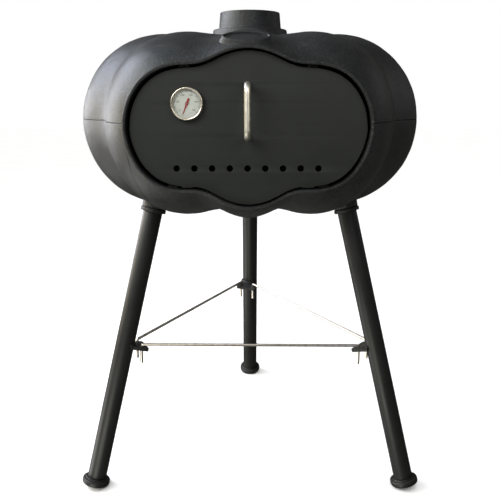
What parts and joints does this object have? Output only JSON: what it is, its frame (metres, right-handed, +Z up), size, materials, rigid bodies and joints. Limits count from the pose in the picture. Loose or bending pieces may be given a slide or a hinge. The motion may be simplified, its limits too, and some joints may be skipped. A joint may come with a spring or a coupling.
{
  "type": "tripod smoker oven",
  "caption": "Pumpkin-shaped cast-iron garden smoker oven on a braced tube tripod, with a flue collar and a lift-off door with handle and dial thermometer.",
  "frame": {"origin": "on the floor, under the centre of the whole object's outline", "axes": "+Z up, -Y to the front where the door is, +X to the right as seen from the front"},
  "size_m": [0.749, 0.8005, 1.027],
  "materials": {
    "shell_iron": "black, fine sandy grain",
    "bracket_iron": "black, slightly rough",
    "grate_iron": "dark, rough",
    "door_black": "matte dark grey",
    "leg_black": "satin black",
    "handle_steel": "brushed",
    "rod_steel": "bright drawn wire",
    "grate_steel": "bright wire",
    "bezel_steel": "polished",
    "zinc": "zinc plated",
    "dial_white": "off-white dial",
    "needle_red": "red",
    "gauge_glass": "clear"
  },
  "bodies": {
    "oven": {"upper_shell": "shell_iron", "lower_shell": "shell_iron", "seam_bolts": "zinc", "seam_nuts": "zinc", "flue_collar": "shell_iron", "collar_screws": "zinc", "leg_tube_left": "leg_black", "leg_tube_right": "leg_black", "leg_tube_rear": "leg_black", "leg_socket_left": "shell_iron", "leg_socket_right": "shell_iron", "leg_socket_rear": "shell_iron", "leg_studs": "zinc", "leg_nuts": "zinc", "foot_cap_left": "leg_black", "foot_cap_right": "leg_black", "foot_cap_rear": "leg_black", "brace_bracket_left": "bracket_iron", "brace_bracket_right": "bracket_iron", "brace_bracket_rear": "bracket_iron", "brace_rod_front": "rod_steel", "brace_rod_left": "rod_steel", "brace_rod_right": "rod_steel"},
    "door": {"door_plate": "door_black", "door_handle": "handle_steel", "handle_washers": "zinc", "handle_nuts": "zinc", "thermometer_case": "bezel_steel", "thermometer_bezel": "bezel_steel", "thermometer_glass": "gauge_glass", "thermometer_dial": "dial_white", "thermometer_probe": "bezel_steel", "thermometer_nut": "zinc"},
    "needle": {"thermometer_needle": "needle_red", "thermometer_spindle": "bezel_steel"},
    "fire_grate": {"fire_grate": "grate_iron"},
    "cooking_grate": {"cooking_grate": "grate_steel"}
  },
  "joints": [
    {"name": "door_pull", "type": "slide", "parent": "oven", "child": "door", "axis": [0, -1, 0], "range_m": [0, 0.3]},
    {"name": "needle_turn", "type": "hinge", "parent": "door", "child": "needle", "pos_m": [-0.1146, -0.34424, 0.837], "axis": [0, 1, 0], "range_deg": [0, 300]},
    {"name": "fire_grate_lift", "type": "slide", "parent": "oven", "child": "fire_grate", "axis": [0, 0, 1], "range_m": [0, 0.02]},
    {"name": "cooking_grate_lift", "type": "slide", "parent": "fire_grate", "child": "cooking_grate", "axis": [0, 0, 1], "range_m": [0, 0.03]}
  ]
}
